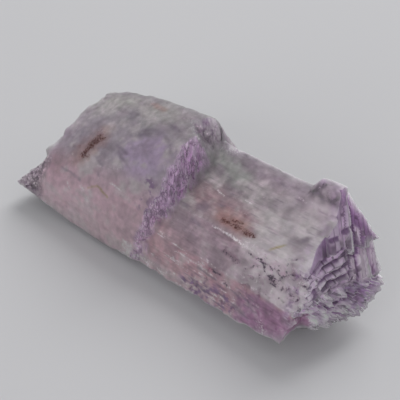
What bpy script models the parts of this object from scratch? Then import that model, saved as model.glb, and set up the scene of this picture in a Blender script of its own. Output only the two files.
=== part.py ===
"""A kunzite crystal, lilac spodumene, lying on one of its long faces.

The crystal is one solid. It starts as a block that is cut into a grid, and every point of the
grid is carried onto the crystal by a few rules: a many-sided outline that changes along the
length, a thick left half that drops across an etched band to a thinner right half, a sloping
right end of blades and stairs, a rough left end, and furrows that follow the length.

Lengths in the constants are millimetres. X runs along the crystal, Z is up, and the front of
the crystal faces -Y. At the end the crystal is moved so that the origin lies on the ground
under its middle.
"""

import bmesh
import bpy
import numpy as np

MM = 0.001

# Cells of the starting block along the crystal, across it and up it.
CELLS_ALONG = 54
CELLS_ACROSS = 18
CELLS_UP = 20
CELLS_ROUND = 2 * (CELLS_ACROSS + CELLS_UP)

# The share of the length that a share of the cells has covered: closer cells at both ends and
# at the band.
PACE = ((0.0, 0.0), (0.12, 0.08), (0.40, 0.44), (0.60, 0.57), (0.86, 0.91), (1.0, 1.0))

# The corners of the crystal's outline in the order that they go round it, and the cell of the
# block at which each one lies, counted round from the front foot.
CORNERS = ("foot", "rest_front", "rest_back", "heel", "back", "crown", "brow", "ridge", "lip")
CORNER_CELL = (0, 4, 14, 18, 27, 38, 46, 56, 66)

# Across and up for each corner, at places along the thick left half.
LEFT = {
    -36: (
        (-14.4, 4.2), (-10, 3.2), (3, 3.2), (8, 6.5), (9, 12),
        (5, 17.0), (-2.5, 15.0), (-8.5, 11.0), (-12.6, 7.4),
    ),
    -29: (
        (-13.8, 2.9), (-10, 1.2), (4, 1.2), (8.6, 5.5), (9.6, 13),
        (5, 18.4), (-2.5, 16.3), (-8.4, 12.2), (-12.4, 7.8),
    ),
    -21: (
        (-13.0, 1.3), (-9.8, 0), (4.5, 0), (9, 5), (10.5, 14),
        (5.5, 20.9), (-1.5, 18.8), (-8, 14.0), (-12.1, 8.2),
    ),
    -12: (
        (-12.7, 1.0), (-9.6, 0), (4.5, 0), (9, 5), (11, 15),
        (5.5, 22.6), (-1.2, 20.3), (-7.8, 15.2), (-12, 8.6),
    ),
    -3: (
        (-12.4, 1.8), (-9.6, 0), (4.5, 0), (9, 5), (11, 15),
        (5.5, 23.3), (-1, 20.8), (-7.5, 15.6), (-11.6, 8.6),
    ),
}

# The same for the thinner right half, with its raised lip near the right end.
RIGHT = {
    -8: (
        (-12.3, 1.9), (-9.6, 0), (4.5, 0), (8.4, 5), (10.2, 14),
        (6, 20.0), (0, 16.0), (-6.3, 12.6), (-10, 8.7),
    ),
    4: (
        (-12.0, 2.1), (-9.5, 0), (4.5, 0), (8.4, 5), (10.2, 14),
        (6, 19.0), (0, 15.6), (-6.3, 12.8), (-10, 8.8),
    ),
    18: (
        (-11.8, 2.9), (-9.2, 0), (4.2, 0), (8.2, 5), (10, 14),
        (6, 19.1), (0, 15.8), (-6.3, 13.6), (-10, 8.7),
    ),
    22: (
        (-11.8, 3.2), (-9, 1.2), (4, 0.6), (8.2, 5), (9.8, 14),
        (6, 19.7), (0, 16.2), (-6.3, 14.0), (-10, 8.7),
    ),
    29: (
        (-11.4, 3.8), (-7.2, 6.0), (2.0, 4.6), (7.6, 6.0), (8.8, 13.4),
        (6.2, 19.9), (0, 16.8), (-6.2, 14.4), (-10, 8.4),
    ),
    36: (
        (-11.4, 3.8), (-6, 7.0), (2.0, 4.6), (7.6, 6.0), (8.8, 13.4),
        (6.2, 19.9), (0, 16.8), (-6.2, 14.4), (-10, 8.4),
    ),
}
HEART = (-1.0, 9.0)

# Where the band crosses each corner's line, and half its width there.
BAND_AT = (-3.2, -2, 0, 0, 0, -0.6, -0.8, -0.1, -1.8)
BAND_HALF = (0.9, 1.5, 1.5, 1.5, 1.2, 0.7, 1.5, 0.9, 1.0)

# Just in front of the crown the band starts further left, as a small steep facet. Its edge
# wanders, and it breaks into scales.
FACET_REACH = 3.8
FACET_CELL = 40.8
FACET_HALF = 2.6
BAND_WANDER = 0.5
BAND_SCALES = 0.5

# The horn: a lip that stands up out of the crown's line before the right end.
HORN_HEIGHT = 2.0
HORN_START = (18.6, 20.8)
HORN_CELLS = 4.5

# The right end is a plane that leans back, and the ledge under the lip stops short of it.
END_REACH = 34.5
END_ACROSS = 0.18
END_LEAN = 0.50
LEDGE_REACH = 28.7
LEDGE_TOP = 8.0
LEDGE_UNDERCUT = 0.24
LEDGE_DEPTH = -7.6

# The relief of the right end: blades in tiers that overhang one another at the back, stairs at
# the front, blocks below them, and a cheek that stands out by the front edge.
FRONT_SIDE = 0.1
LOW_RISE = -0.25
LOW_SLOPE = 0.3
BLADE_CELLS = 2
BLADE_RELIEF = 0.9
TIER_ROWS = 7
TIER_BREAK = 9
TIER_SHIFT = 0.3
TIER_OVERHANG = 1.5
STAIR_ROWS = 3
STAIR_RELIEF = 1.2
BLOCK_CELLS = 2
BLOCK_RELIEF = 1.4
CHEEK = 1.6
CHEEK_ACROSS = (2.5, 7.0)
CHEEK_UP = (8.5, 10.5)

# The left end: a broken face, and the tip that stands out of it at the bottom front. Above
# its middle the face leans in.
BREAK_REACH = -30.0
BREAK_GRAIN = 2.2
BREAK_ROUGH = 0.6
BEVEL_FROM = 14.0
BEVEL_LEAN = 0.4
TIP_TOP = 10.0
TIP_LEAN = 0.85
TIP_ACROSS = (-2, 13)

# Furrows along the faces, deeper on the right half, and the pits in its two front faces.
FURROW_LENGTH = 14.0
FURROW_CELLS = 1.1
FURROW_LEFT = 0.08
FURROW_RIGHT = 0.18
PIT_LENGTH = 1.5
PIT_CELLS = 1.5
PIT_DEPTH = 0.45
PIT_SHARE = 0.14
PITS_FROM = (6, 14)
PIT_FACES = (54, 58)

# One number for each use of chance, so that every build comes out the same.
BAND_SEED = 3
SCALE_SEED = 4
BREAK_SEED = 5
BLADE_SEED = 6
BLOCK_SEED = 8
FURROW_SEED = 11
PIT_SEED = 14


def between(value, low, high):
    """0 below low, 1 above high, and an even slope between them."""
    return np.clip((value - low) / (high - low), 0, 1)


def blend(value, low, high):
    """0 below low, 1 above high, and a soft curve between them."""
    share = between(value, low, high)
    return share * share * (3 - 2 * share)


def hashed(whole, seed):
    """A random number from 0 to 1 for each row of whole numbers."""
    mix = np.full(whole.shape[0], seed * 7919 + 17, np.int64)
    for column in range(whole.shape[1]):
        mix = (mix ^ (whole[:, column].astype(np.int64) * 668265263)) * 374761393 & 0x7FFFFFFF
        mix = mix ^ (mix >> 13)
    mix = mix * 1274126177 & 0x7FFFFFFF
    return (mix ^ (mix >> 15)) % 65536 / 65535


def wander(places, seed):
    """Smooth noise from -1 to 1 that turns about once a unit."""
    base = np.floor(places)
    part = places - base
    part = part * part * (3 - 2 * part)
    total = np.zeros(places.shape[0])
    for corner in np.ndindex(*(2,) * places.shape[1]):
        offset = np.array(corner)
        weight = np.prod(np.where(offset == 1, part, 1 - part), axis=1)
        total += weight * hashed(base + offset, seed)
    return 2 * total - 1


def stack(*columns):
    return np.stack(columns, axis=1)


def round_corners(values, cell):
    """The value at each cell place on the way round, evenly between the two corners beside it."""
    at = np.append(np.array(CORNER_CELL, float), CELLS_ROUND)
    values = np.vstack([values, values[:1]])
    before = np.clip(np.searchsorted(at, cell + 1e-6, side="right") - 1, 0, len(at) - 2)
    share = (cell - at[before]) / (at[before + 1] - at[before])
    point = np.arange(len(cell))
    return values[before, point] * (1 - share) + values[before + 1, point] * share


def outline_of(sections, along, cell):
    """Across and up of an outline at each place along and round it."""
    places = np.array(list(sections), float)
    corners = np.array(list(sections.values()), float)
    sides = [
        np.array([np.interp(along, places, corners[:, c, axis]) for c in range(len(CORNERS))])
        for axis in (0, 1)
    ]
    return round_corners(sides[0], cell), round_corners(sides[1], cell)


def outline(along, cell):
    """The crystal's own outline: the left half's up to the band, the right half's after it."""
    count = len(along)
    at = round_corners(np.tile(np.array(BAND_AT, float)[:, None], count), cell)
    half = round_corners(np.tile(np.array(BAND_HALF, float)[:, None], count), cell)
    at = at + BAND_WANDER * wander(stack(cell * 0.4), BAND_SEED)
    at = at + BAND_SCALES * (hashed(np.round(stack(cell)), SCALE_SEED) - 0.5)
    facet = FACET_REACH * (1 - between(np.abs(cell - FACET_CELL), 0, FACET_HALF))
    share = between(along, at - half - facet, at + half)
    left = outline_of(LEFT, along, cell)
    right = outline_of(RIGHT, along, cell)
    near_crown = 1 - between(np.abs(cell - CORNER_CELL[CORNERS.index("crown")]), 1, HORN_CELLS)
    horn = HORN_HEIGHT * blend(along, *HORN_START) * near_crown
    return left[0] + (right[0] - left[0]) * share, left[1] + (right[1] - left[1]) * share + horn


def left_end(across, up):
    tip = between(-across, *TIP_ACROSS) * np.maximum(TIP_TOP - up, 0) * TIP_LEAN
    bevel = BEVEL_LEAN * np.maximum(up - BEVEL_FROM, 0)
    rough = BREAK_ROUGH * wander(stack(across, up) / BREAK_GRAIN, BREAK_SEED)
    return BREAK_REACH - tip + bevel + rough


def end_relief(side, rise):
    """How far each point of the right end stands out of its plane."""
    column = (side + 1) / 2 * CELLS_ACROSS
    row = (rise + 1) / 2 * CELLS_UP
    blade = np.floor(column / BLADE_CELLS)
    climb = (row - TIER_BREAK) / TIER_ROWS + TIER_SHIFT * (hashed(stack(blade), BLADE_SEED) - 0.5)
    blades = BLADE_RELIEF * (hashed(stack(blade, np.floor(climb)), BLADE_SEED) - 0.5)
    blades = blades + TIER_OVERHANG * (0.5 - np.mod(climb, 1))
    stairs = STAIR_RELIEF * (np.mod(row / STAIR_ROWS, 1) - 0.5)
    blocks = BLOCK_RELIEF * (hashed(np.floor(stack(column, row) / BLOCK_CELLS), BLOCK_SEED) - 0.5)
    relief = np.where(side < FRONT_SIDE, stairs, blades)
    return np.where(rise < LOW_RISE - LOW_SLOPE * side, blocks, relief)


def right_end(across, up, side, rise):
    plane = END_REACH + END_ACROSS * across - END_LEAN * up
    cheek = CHEEK * between(-across, *CHEEK_ACROSS) * between(up, *CHEEK_UP)
    whole = plane + cheek + end_relief(side, rise)
    ledge = LEDGE_REACH - LEDGE_UNDERCUT * (LEDGE_TOP - up)
    under = between(LEDGE_DEPTH - across, -0.3, 0.3) * between(LEDGE_TOP - up, 0, 0.5)
    return whole + (ledge - whole) * under


def place_round(side, rise):
    """The cell place of a point of the block's square cross-section, and its share of the way out."""
    out = np.maximum(np.maximum(np.abs(side), np.abs(rise)), 1e-9)
    side, rise = side / out, rise / out
    edge = 1 - 1e-6
    cell = (side + 1) / 2 * CELLS_ACROSS
    on_back = side >= edge
    cell = np.where(on_back, CELLS_ACROSS + (rise + 1) / 2 * CELLS_UP, cell)
    on_top = (rise >= edge) & ~on_back
    cell = np.where(on_top, CELLS_ACROSS + CELLS_UP + (1 - side) / 2 * CELLS_ACROSS, cell)
    on_front = (side <= -edge) & (rise < edge) & (rise > -edge)
    cell = np.where(on_front, 2 * CELLS_ACROSS + CELLS_UP + (1 - rise) / 2 * CELLS_UP, cell)
    return cell, out


def furrows(along, cell):
    """How far the long faces stand in or out: furrows along the length, and pits."""
    right = between(along, -2, 4)
    depth = FURROW_LEFT + (FURROW_RIGHT - FURROW_LEFT) * right
    lengthwise = depth * wander(stack(along / FURROW_LENGTH, cell / FURROW_CELLS), FURROW_SEED)
    chance = hashed(np.floor(stack(along / PIT_LENGTH, cell / PIT_CELLS)), PIT_SEED)
    pits = PIT_DEPTH * (chance < PIT_SHARE) * between(cell, *PIT_FACES) * between(along, *PITS_FROM)
    resting = between(cell, 1, 4) * (1 - between(cell, 14, 17))
    return (lengthwise - pits) * (1 - resting)


def crystal_points(block):
    """Carries the block's points, each from -1 to 1, onto the crystal, in millimetres."""
    cell, out = place_round(block[:, 1], block[:, 2])
    share = np.interp((block[:, 0] + 1) / 2, *zip(*PACE))
    along = BREAK_REACH + (END_REACH - BREAK_REACH) * share
    for _ in range(4):
        across, up = outline(along, cell)
        across = HEART[0] + out * (across - HEART[0])
        up = HEART[1] + out * (up - HEART[1])
        low, high = left_end(across, up), right_end(across, up, block[:, 1], block[:, 2])
        along = low + (high - low) * share
    away = stack(across - HEART[0], up - HEART[1])
    away = away / np.maximum(np.linalg.norm(away, axis=1, keepdims=True), 1e-6)
    depth = furrows(along, cell) * (out > 1 - 1e-6)
    return stack(along, across + away[:, 0] * depth, np.maximum(up + away[:, 1] * depth, 0))


def ground_middle(points):
    """The middle of the points' box, on the ground."""
    middle = (points.min(axis=0) + points.max(axis=0)) / 2
    return np.array([middle[0], middle[1], 0.0])


def block_mesh(name):
    """A block from -1 to 1 cut into cells on every side."""
    grid = bmesh.new()
    bmesh.ops.create_cube(grid, size=2)
    for axis, cells in enumerate((CELLS_ALONG, CELLS_ACROSS, CELLS_UP)):
        edges = [e for e in grid.edges if abs((e.verts[0].co - e.verts[1].co)[axis]) > 1e-4]
        bmesh.ops.subdivide_edges(grid, edges=edges, cuts=cells - 1, use_grid_fill=True)
    mesh = bpy.data.meshes.new(name)
    grid.to_mesh(mesh)
    grid.free()
    return mesh


def make_crystal():
    mesh = block_mesh("crystal")
    block = np.empty(len(mesh.vertices) * 3, np.float32)
    mesh.vertices.foreach_get("co", block)
    points = crystal_points(block.reshape(-1, 3).astype(float))
    points = (points - ground_middle(points)) * MM
    mesh.vertices.foreach_set("co", points.astype(np.float32).ravel())
    mesh.update()
    crystal = bpy.data.objects.new("kunzite_crystal", mesh)
    bpy.context.scene.collection.objects.link(crystal)
    return crystal


for old in list(bpy.data.objects):
    bpy.data.objects.remove(old)
make_crystal()
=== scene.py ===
"""The looks of a rough kunzite crystal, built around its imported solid.

The crystal's visible skin follows the same rules as the solid, on a finer grid, with the small
forms that the solid leaves out: striations, the scales of the etched band, narrower blades and
stairs on the sloping end, pits and grain. Lengths in the constants are millimetres, in the frame
in which the crystal was drawn, and the finished skin is moved onto the solid at the end.
"""

import math

import bmesh
import bpy
import numpy as np
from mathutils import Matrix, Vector


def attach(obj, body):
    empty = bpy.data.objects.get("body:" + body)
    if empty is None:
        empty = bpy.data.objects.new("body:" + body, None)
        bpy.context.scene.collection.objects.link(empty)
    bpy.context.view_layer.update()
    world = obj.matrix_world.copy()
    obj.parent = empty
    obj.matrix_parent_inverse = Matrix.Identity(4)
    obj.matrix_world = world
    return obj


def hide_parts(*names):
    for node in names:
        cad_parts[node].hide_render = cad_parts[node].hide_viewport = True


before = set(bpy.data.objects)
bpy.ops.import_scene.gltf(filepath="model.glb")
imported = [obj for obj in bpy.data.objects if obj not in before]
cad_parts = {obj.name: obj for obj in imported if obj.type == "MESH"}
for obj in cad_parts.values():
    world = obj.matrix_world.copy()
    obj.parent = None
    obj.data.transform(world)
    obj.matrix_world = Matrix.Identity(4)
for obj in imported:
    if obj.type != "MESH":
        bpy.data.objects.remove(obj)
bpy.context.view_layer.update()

MM = 0.001

# Cells of the solid's block across it and up it. A place round the crystal is counted in them.
CELLS_ACROSS = 18
CELLS_UP = 20
CELLS_ROUND = 2 * (CELLS_ACROSS + CELLS_UP)

# Cells of the skin along the crystal, across it and up it.
SKIN_ALONG = 208
SKIN_ACROSS = 90
SKIN_UP = 100

# The middle of the drawn crystal, which goes over the origin.
MIDDLE = (-1.1004, -1.6819)

# The share of the length that a share of the cells has covered: closer cells at both ends and
# at the band.
PACE = ((0.0, 0.0), (0.12, 0.08), (0.40, 0.44), (0.60, 0.57), (0.86, 0.91), (1.0, 1.0))

# The corners of the crystal's outline in the order that they go round it, and the cell of the
# block at which each one lies, counted round from the front foot.
CORNERS = ("foot", "rest_front", "rest_back", "heel", "back", "crown", "brow", "ridge", "lip")
CORNER_CELL = (0, 4, 14, 18, 27, 38, 46, 56, 66)
CELL_OF = dict(zip(CORNERS, CORNER_CELL))

# Across and up for each corner, at places along the thick left half.
LEFT = {
    -36: (
        (-14.4, 4.2), (-10, 3.2), (3, 3.2), (8, 6.5), (9, 12),
        (5, 17.0), (-2.5, 15.0), (-8.5, 11.0), (-12.6, 7.4),
    ),
    -29: (
        (-13.8, 2.9), (-10, 1.2), (4, 1.2), (8.6, 5.5), (9.6, 13),
        (5, 18.4), (-2.5, 16.3), (-8.4, 12.2), (-12.4, 7.8),
    ),
    -21: (
        (-13.0, 1.3), (-9.8, 0), (4.5, 0), (9, 5), (10.5, 14),
        (5.5, 20.9), (-1.5, 18.8), (-8, 14.0), (-12.1, 8.2),
    ),
    -12: (
        (-12.7, 1.0), (-9.6, 0), (4.5, 0), (9, 5), (11, 15),
        (5.5, 22.6), (-1.2, 20.3), (-7.8, 15.2), (-12, 8.6),
    ),
    -3: (
        (-12.4, 1.8), (-9.6, 0), (4.5, 0), (9, 5), (11, 15),
        (5.5, 23.3), (-1, 20.8), (-7.5, 15.6), (-11.6, 8.6),
    ),
}

# The same for the thinner right half, with its raised lip near the right end.
RIGHT = {
    -8: (
        (-12.3, 1.9), (-9.6, 0), (4.5, 0), (8.4, 5), (10.2, 14),
        (6, 20.0), (0, 16.0), (-6.3, 12.6), (-10, 8.7),
    ),
    4: (
        (-12.0, 2.1), (-9.5, 0), (4.5, 0), (8.4, 5), (10.2, 14),
        (6, 19.0), (0, 15.6), (-6.3, 12.8), (-10, 8.8),
    ),
    18: (
        (-11.8, 2.9), (-9.2, 0), (4.2, 0), (8.2, 5), (10, 14),
        (6, 19.1), (0, 15.8), (-6.3, 13.6), (-10, 8.7),
    ),
    22: (
        (-11.8, 3.2), (-9, 1.2), (4, 0.6), (8.2, 5), (9.8, 14),
        (6, 19.7), (0, 16.2), (-6.3, 14.0), (-10, 8.7),
    ),
    29: (
        (-11.4, 3.8), (-7.4, 5.2), (2.2, 3.9), (7.2, 6.6), (8.6, 13.4),
        (6.2, 19.9), (0, 16.8), (-6.2, 14.4), (-10, 8.4),
    ),
    36: (
        (-11.4, 3.8), (-6.8, 5.7), (2.2, 3.9), (7.2, 6.6), (8.6, 13.4),
        (6.2, 19.9), (0, 16.8), (-6.2, 14.4), (-10, 8.4),
    ),
}
HEART = (-1.0, 9.0)

# Where the band crosses each corner's line, and half its width there.
BAND_AT = (-3.2, -2, 0, 0, 0, -0.6, -0.8, -0.1, -1.8)
BAND_HALF = (0.9, 1.5, 1.5, 1.5, 1.2, 0.7, 1.5, 0.9, 1.0)

# Just in front of the crown the band starts further left, as a small steep facet. Its edge
# wanders, and the whole band breaks into upright scales, which are calmer at the back.
FACET_REACH = 3.8
FACET_CELL = 40.8
FACET_HALF = 2.6
SCALE_WAY = (0.45, -0.47, -0.76)
SCALE_WIDTH = 0.4
SCALE_LENGTH = 2.0
SCALE_PUSH = 0.75
BACK_CALM = 0.8

# The horn: a lip that stands up out of the crown's line before the right end.
HORN_HEIGHT = 2.0
HORN_START = (18.6, 20.8)
HORN_CELLS = 4.5

# The right end is a plane that leans back, and the ledge under the lip stops short of it.
END_REACH = 34.5
END_ACROSS = 0.18
END_LEAN = 0.50
LEDGE_REACH = 28.7
LEDGE_TOP = 8.0
LEDGE_UNDERCUT = 0.24
LEDGE_DEPTH = -7.6
LEDGE_SOFT = 0.5

# The zones of the right end: upright blades at the back, stairs at the front, blocks below them,
# how softly the zones run into each other, and a cheek that stands out by the front edge.
STAIRS_TO = 2.6
STAIRS_UNDER = 13.9
STAIRS_SOFT = 0.2
BLOCKS_TO = 9.1
BLOCKS_SLANT = 0.1
BLOCKS_BACK = (-1.0, 1.5)
ZONE_SOFT = 0.3
CHEEK = 1.6
CHEEK_ACROSS = (2.5, 7.0)
CHEEK_UP = (8.5, 10.5)

# The blades stand in tiers that overhang one another, and the stairs fan out and are cut across
# into chips. A drop is the share of each form's width in which it falls back to the next one.
BLADE_EDGES = np.array((-30, -7, -4.6, -3.5, -2.4, -1.5, -0.5, 0.9, 1.7, 2.6, 3.3, 4.4, 5.6, 7, 12.0))
BLADE_TILT = 0.41
BLADE_RELIEF = 0.6
BLADE_CURVE = 0.3
BLADE_DROP = 0.2
TIERS = np.array((-8.0, 2.5, 8.0, 13.4, 24.0))
TIER_OVERHANG = 1.5
TIER_DROP = 0.06
TIER_SHIFT = 1.2
TIER_SHIFT_TO = 7.0
UPPER_TIER = (13.4, 14.4)
STAIR_EDGES = np.array((-4.0, 9.3, 10.35, 11.35, 12.75, 13.75, 16.3, 30.0))
STAIR_FAN = 0.04
STAIR_FAN_UP = 11.5
STAIR_RELIEF = 0.36
STAIR_DROP = 0.4
CHIP_RELIEF = 0.2
CHIP_SHIFT = 1.3
CHIP_DROP = 0.2
BLOCK_WIDTH = (0.6, 1.4)
BLOCK_LEAN = 0.2
BLOCK_SLANT = 0.25
BLOCK_RELIEF = 0.9
BLOCK_TILT = 0.7
BLOCK_RISE = 0.5
BLOCK_DROP = 0.3

# Grooves and clean ridges on the right end, each from one place across and up it to another, with
# how far it reaches to either side.
GROOVES = (
    ((5.7, 20.2), (6.0, 16.4), 0.9), ((4.4, 13.8), (4.0, 12.4), 0.9),
    ((2.8, 16.2), (4.8, 16.7), 0.45), ((0.1, 16.0), (1.4, 15.9), 0.45),
    ((4.2, 15.0), (3.4, 12.4), 0.4), ((5.8, 14.5), (4.8, 12.0), 0.4),
    ((4.3, 12.0), (2.9, 8.8), 0.3), ((3.0, 12.4), (1.5, 9.4), 0.25),
    ((7.2, 13.7), (5.9, 10.4), 0.3), ((5.9, 10.4), (5.0, 7.2), 0.3),
    ((7.8, 18.4), (6.5, 14.9), 0.35), ((8.0, 16.9), (7.3, 14.5), 0.3),
    ((6.5, 19.7), (4.7, 15.4), 0.3), ((-4.8, 13.3), (-1.5, 13.6), 0.45),
    ((0.4, 14.2), (1.8, 14.1), 0.4), ((1.4, 13.2), (2.7, 13.2), 0.4),
    ((-2.9, 12.7), (0.5, 12.7), 0.45), ((-4.4, 11.4), (0.5, 11.3), 0.35),
    ((-4.0, 10.5), (1.1, 10.2), 0.35), ((-4.1, 10.3), (-2.5, 10.4), 0.75),
    ((1.1, 11.6), (2.1, 11.7), 0.45), ((-6.1, 11.1), (-6.9, 9.2), 1.0),
    ((-4.1, 7.3), (-0.3, 7.2), 0.35), ((-3.3, 6.5), (-0.6, 4.6), 0.35),
    ((1.2, 7.2), (2.2, 6.6), 1.2),
)
RIDGES = (
    ((6.8, 19.1), (5.2, 15.1), 0.45), ((3.5, 11.6), (2.4, 9.3), 0.55),
    ((5.6, 12.4), (4.0, 8.3), 0.9), ((7.2, 11.6), (6.8, 10.2), 0.5),
    ((1.8, 8.5), (1.9, 7.7), 0.55), ((1.9, 15.8), (1.6, 14.3), 0.35),
    ((2.9, 15.6), (2.5, 14.2), 0.3), ((8.6, 15.6), (8.8, 14.3), 0.6),
    ((-2.1, 6.9), (0.8, 6.1), 0.5),
)
GROOVE_DEPTH = 0.3
GROOVE_BEND = 0.05
RIDGE_CALM = 0.6

# The width and length of the scales and blocks that show only as tones and cracks, and the size of
# such grains. The same lines cut each blade and each stair into bars of a length.
SCALE_CHIP = (0.36, 1.8)
BARS_EACH = 2
BLADE_LENGTH = 4.4
STAIR_LENGTH = 2.6
BLOCK_CHIP = (1.3, 0.5)
BLOCK_CHIP_SLANT = (0.3, 0.5)
GRAIN_CHIP = 0.5

# The striations' places go round the crystal from the middle of the face that it rests on, in
# cells of about this many millimetres. Edges sharper than this many degrees are drawn sharp.
SEAM_CELL = 9
CELL_SIZE = 0.8
SHARP_FROM = 40

# The left end: a broken face, and the tip that stands out of it at the bottom front.
BREAK_REACH = -30.0
BEVEL_FROM = 14.0
BEVEL_LEAN = 0.4
TIP_TOP = 10.0
TIP_LEAN = 0.85
TIP_ACROSS = (-2, 13)
TIP_GRAIN = (-33.5, -29.5)

# A knob on the broken face, which shows on its outline.
KNOB_AT = (-9.3, 11.4)
KNOB_SIZE = (1.5, 1.3)
KNOB_HEIGHT = 1.3

# How many cells the corners of the left half are rounded over, in the order of the corners.
ROUNDED = (0.5, 2, 2, 2, 2, 0.6, 3.5, 5, 4)

# Where the slope and the front are pitted, along the crystal, and how much less the front is. Drawn
# pits and etched hollows have their depths, and a hollow the noise at its rim and at its bottom.
PITS_SLOPE = (11, 21)
PITS_FRONT = (5, 14)
PITS_FRONT_SHARE = 0.35
PIT_DEPTH = 0.45
HOLE_DEPTH = 0.4
HOLE_EDGE = (0.64, 0.9)

# The noises that shape and colour the crystal: the size of their forms in the units of the places
# that they are given, mostly millimetres, their seed, their number of layers and their strength.
NOISES = {
    "band": (2.5, 3, 1, 0.5),
    "break": (2.2, 5, 1, 0.6),
    "break_grit": (0.9, 55, 3, 0.35),
    "ledge": (1.5, 56, 3, 0.6),
    "columns": (1.2, 90, 1, 0.5),
    "rows": (1.2, 91, 1, 0.5),
    "broad": ((14.0, 1.1), 11, 1, 0.08),
    "striae": ((6.0, 1 / 1.3), 12, 3, 0.05),
    "mottle": (2.4, 18, 3, 0.12),
    "fine_mottle": (0.8, 19, 2, 0.03),
    "rim": (2.2, 22, 3, 0.34),
    "frost": ((1.4, 0.7, 0.7), 16, 3, 0.12),
    "scales": (1.0, 20, 3, 0.2),
    "grain": (0.75, 21, 3, 0.24),
    "crust": (1.4, 24, 3, 0.4),
    "holes": ((0.75, 0.6, 0.95), 75, 3, 1.0),
    "bend": (1.4, 60, 3, 1.0),
    "fray": (0.6, 64, 3, 1.0),
    "upright": (1.0, 30, 3, 1.0),
    "soft": (3.2, 41, 3, 1.0),
    "clouds": (1.5, 42, 3, 0.7),
    "small": (0.9, 44, 3, 1.0),
    "tiny": (0.45, 47, 2, 1.0),
    "lines": ((2.6, 0.35, 0.35), 50, 3, 1.0),
    "dashes": (1.0, 102, 3, 1.0),
    "lined": ((5.0, 1.2, 1.2), 70, 3, 1.0),
    "gaps": (0.8, 98, 3, 1.0),
    "bar_gaps": (1.6, 99, 3, 1.0),
    "glints": (1.1, 100, 3, 1.0),
    "veils": (2.5, 101, 3, 1.0),
    "scale_sway": (1.6, 94, 2, 0.4),
    "bar_sway": (3.5, 94, 1, 0.3),
    "block_sway": (1.2, 96, 3, 0.4),
}


def between(value, low, high):
    """0 below low, 1 above high, and an even slope between them."""
    return np.clip((value - low) / (high - low), 0, 1)


def blend(value, low, high):
    """0 below low, 1 above high, and a soft curve between them."""
    share = between(value, low, high)
    return share * share * (3 - 2 * share)


def stack(*columns):
    return np.stack(columns, axis=1)


def hashed(whole, seed):
    """A random number from 0 to 1 for each row of whole numbers."""
    mix = np.full(whole.shape[0], seed * 7919 + 17, np.int64)
    for column in range(whole.shape[1]):
        mix = (mix ^ (whole[:, column].astype(np.int64) * 668265263)) * 374761393 & 0x7FFFFFFF
        mix = mix ^ (mix >> 13)
    mix = mix * 1274126177 & 0x7FFFFFFF
    return (mix ^ (mix >> 15)) % 65536 / 65535


def wander(places, seed):
    """Smooth noise from -1 to 1 that turns about once a unit."""
    base = np.floor(places)
    part = places - base
    part = part * part * (3 - 2 * part)
    total = np.zeros(places.shape[0])
    for corner in np.ndindex(*(2,) * places.shape[1]):
        offset = np.array(corner)
        weight = np.prod(np.where(offset == 1, part, 1 - part), axis=1)
        total += weight * hashed(base + offset, seed)
    return 2 * total - 1


def rugged(places, seed, layers=3):
    """Noise from about -1 to 1 with finer noise on it, each layer half as strong."""
    total = np.zeros(places.shape[0])
    for layer in range(layers):
        total += wander(places * 2**layer, seed + layer) / 2**layer
    return total / (2 - 0.5 ** (layers - 1))


def noise(name, places, more=0):
    """One of the crystal's noises at each place; more gives others of the same kind."""
    size, seed, layers, strength = NOISES[name]
    return strength * rugged(places / np.array(size), seed + more, layers)


def drawn_out(points, way, width, length):
    """Places whose noise is as wide as the width, and as long as the length along a way."""
    way = np.array(way) / np.linalg.norm(way)
    part = (points @ way)[:, None] * way
    return (points - part) / width + part / length


def levels(first, last, step, seed):
    """Places from first to past last, each a random step, between two sizes, after the one before."""
    places = [first]
    while places[-1] < last:
        chance = hashed(np.array([[len(places)]]), seed)[0]
        places.append(places[-1] + step[0] + (step[1] - step[0]) * chance)
    return np.array(places)


def tooth(value, places, drop):
    """Which step a value is on, and its height there: up from -0.5 to 0.5, then back over the drop."""
    index = np.clip(np.searchsorted(places, value, side="right") - 1, 0, len(places) - 2)
    part = between(value, places[index], places[index + 1])
    return index, np.where(part < 1 - drop, part / (1 - drop), (1 - part) / drop) - 0.5


def round_corners(values, cell):
    """The value at each cell place on the way round, evenly between the two corners beside it."""
    cell = np.mod(cell, CELLS_ROUND)
    at = np.append(np.array(CORNER_CELL, float), CELLS_ROUND)
    values = np.vstack([values, values[:1]])
    before = np.clip(np.searchsorted(at, cell + 1e-6, side="right") - 1, 0, len(at) - 2)
    share = (cell - at[before]) / (at[before + 1] - at[before])
    point = np.arange(len(cell))
    return values[before, point] * (1 - share) + values[before + 1, point] * share


def corner_values(values, cell):
    """The same for values that stay the same along the crystal."""
    return round_corners(np.tile(np.array(values, float)[:, None], len(cell)), cell)


def outline_of(sections, along, cell):
    """Across and up of an outline at each place along and round it."""
    places = np.array(list(sections), float)
    corners = np.array(list(sections.values()), float)
    sides = [
        np.array([np.interp(along, places, corners[:, c, axis]) for c in range(len(CORNERS))])
        for axis in (0, 1)
    ]
    return stack(round_corners(sides[0], cell), round_corners(sides[1], cell))


def rounded_outline_of(sections, along, cell):
    """An outline with its corners rounded over a few cells."""
    reach = corner_values(ROUNDED, cell)
    total = 2 * outline_of(sections, along, cell)
    for way in (-1, -0.5, 0.5, 1):
        total += outline_of(sections, along, cell + way * reach) * (1 if abs(way) == 1 else 2)
    return total / 8


def band_edges(cell):
    """Where the band starts and ends along the crystal, at each place round it."""
    at = corner_values(BAND_AT, cell) + noise("band", stack(cell))
    half = corner_values(BAND_HALF, cell)
    facet = FACET_REACH * (1 - between(np.abs(cell - FACET_CELL), 0, FACET_HALF))
    return at - half - facet, at + half


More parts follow.
